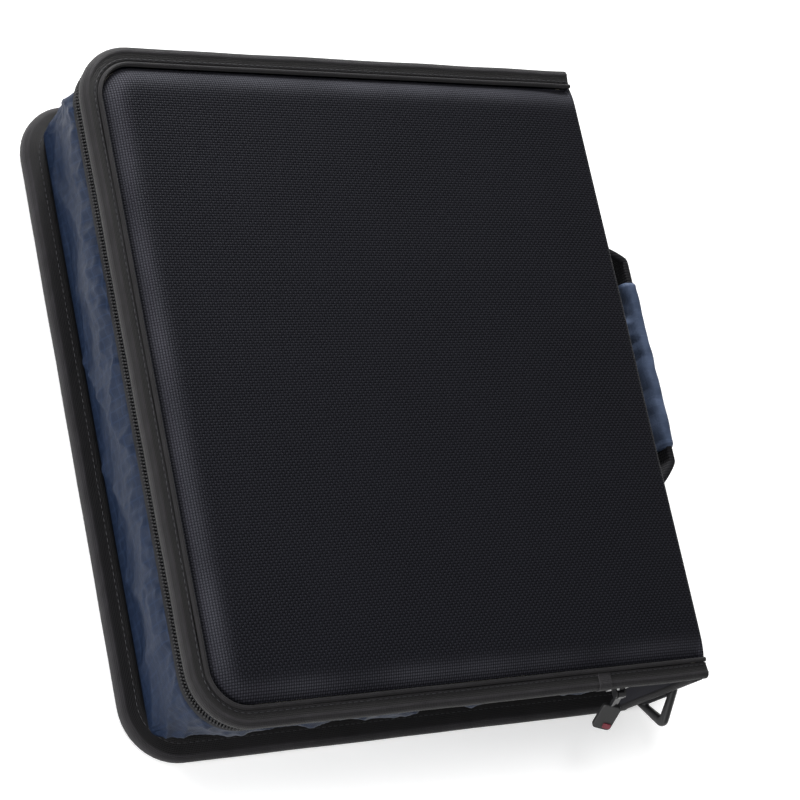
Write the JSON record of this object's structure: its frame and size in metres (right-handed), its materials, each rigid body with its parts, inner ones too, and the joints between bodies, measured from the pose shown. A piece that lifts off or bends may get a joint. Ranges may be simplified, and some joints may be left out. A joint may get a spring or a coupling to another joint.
{
  "type": "zip-round ring binder",
  "caption": "Zip-round binder case with padded cloth covers, a leaning gusset, a padded carry handle, strap rings and a lever ring mechanism inside.",
  "frame": {"origin": "middle of the back cover's outer face, on the surface the case lies on", "axes": "+Z out of the front cover, +X towards the spine, +Y towards the top edge"},
  "size_m": [0.3355, 0.3733, 0.0789],
  "materials": {
    "cover_cloth": "black ballistic weave polyester with a coated back",
    "binding_tape": "black woven polyester binding tape, stitched",
    "gusset_cloth": "slate blue ripstop nylon",
    "lining_cloth": "thin black lining cloth",
    "grey_board": "stiff grey board",
    "foam": "thin packing foam",
    "zip_tape": "knitted polyester zip tape",
    "zip_coil": "black nylon coil",
    "slider_metal": "black enamelled zinc",
    "pull_rubber": "black moulded PVC",
    "accent_rubber": "red moulded PVC",
    "webbing": "black polyester webbing",
    "ring_plastic": "black moulded acetal",
    "plated_steel": "nickel plated steel",
    "blade_steel": "zinc plated spring steel"
  },
  "bodies": {
    "back_case": {"back_skin": "cover_cloth", "back_foam": "foam", "back_board": "grey_board", "back_lining": "lining_cloth", "back_binding": "binding_tape", "gusset_wall": "gusset_cloth", "gusset_end_top": "gusset_cloth", "gusset_end_bottom": "gusset_cloth", "zip_tape_lower": "zip_tape", "zip_teeth_lower": "zip_coil", "zip_stops": "zip_tape", "spine_skin": "cover_cloth", "spine_board": "grey_board", "spine_lining": "lining_cloth", "handle_foot_top": "webbing", "handle_foot_bottom": "webbing", "strap_tab_top": "webbing", "strap_tab_bottom": "webbing", "ring_base_plate": "plated_steel", "ring_channel": "plated_steel", "mechanism_rivets": "plated_steel"},
    "front_cover": {"front_skin": "cover_cloth", "front_foam": "foam", "front_board": "grey_board", "front_lining": "lining_cloth", "front_binding": "binding_tape", "front_piping": "binding_tape", "front_pocket": "lining_cloth", "zip_tape_upper": "zip_tape", "zip_teeth_upper": "zip_coil"},
    "handle": {"handle_core": "webbing", "handle_sleeve": "gusset_cloth"},
    "strap_ring_top": {"strap_ring_top": "ring_plastic"},
    "strap_ring_bottom": {"strap_ring_bottom": "ring_plastic"},
    "zip_slider": {"zip_slider": "slider_metal"},
    "zip_pull": {"pull_link": "slider_metal", "pull_tab": "pull_rubber", "pull_accent": "accent_rubber"},
    "rings_front": {"ring_blade_front": "blade_steel", "ring_front_1": "plated_steel", "ring_front_2": "plated_steel", "ring_front_3": "plated_steel"},
    "rings_back": {"ring_blade_back": "blade_steel", "ring_back_1": "plated_steel", "ring_back_2": "plated_steel", "ring_back_3": "plated_steel"},
    "lever_top": {"lever_top": "plated_steel"},
    "lever_bottom": {"lever_bottom": "plated_steel"}
  },
  "joints": [
    {"name": "cover_fold", "type": "hinge", "parent": "back_case", "child": "front_cover", "pos_m": [0.15, 0, 0.0765], "axis": [0, 1, 0], "range_deg": [0, 180]},
    {"name": "handle_swing", "type": "hinge", "parent": "back_case", "child": "handle", "pos_m": [0.15, 0.004, 0.03825], "axis": [0, -1, 0], "range_deg": [-30, 30], "stiffness_Nm_per_rad": 0.6},
    {"name": "strap_ring_top_swing", "type": "hinge", "parent": "back_case", "child": "strap_ring_top", "pos_m": [0.1536, 0.1685, 0.027], "axis": [0, 0, -1], "range_deg": [-20, 150]},
    {"name": "strap_ring_bottom_swing", "type": "hinge", "parent": "back_case", "child": "strap_ring_bottom", "pos_m": [0.1536, -0.1685, 0.027], "axis": [0, 0, 1], "range_deg": [-20, 150]},
    {"name": "zip_slide", "type": "slide", "parent": "back_case", "child": "zip_slider", "axis": [-1, 0, 0], "range_m": [0, 0.2]},
    {"name": "zip_pull_swing", "type": "hinge", "parent": "zip_slider", "child": "zip_pull", "pos_m": [0.097, -0.1735, 0.068], "axis": [-1, 0, 0], "range_deg": [-28, 130]},
    {"name": "rings_open", "type": "hinge", "parent": "back_case", "child": "rings_front", "pos_m": [0.1424, 0, 0.04925], "axis": [0, 1, 0], "range_deg": [0, 13]},
    {"name": "rings_open_back", "type": "hinge", "parent": "back_case", "child": "rings_back", "pos_m": [0.1424, 0, 0.02725], "axis": [0, -1, 0], "range_deg": [0, 13]},
    {"name": "lever_top_press", "type": "hinge", "parent": "back_case", "child": "lever_top", "pos_m": [0.1408, 0.1275, 0.03825], "axis": [0, 0, -1], "range_deg": [0, 35.2]},
    {"name": "lever_bottom_press", "type": "hinge", "parent": "back_case", "child": "lever_bottom", "pos_m": [0.1408, -0.1275, 0.03825], "axis": [0, 0, 1], "range_deg": [0, 35.2]}
  ],
  "couplings": [
    {"joint": "rings_open_back", "follows": "rings_open", "ratio": 1},
    {"joint": "lever_top_press", "follows": "rings_open", "ratio": 2.6923},
    {"joint": "lever_bottom_press", "follows": "rings_open", "ratio": 2.6923}
  ]
}
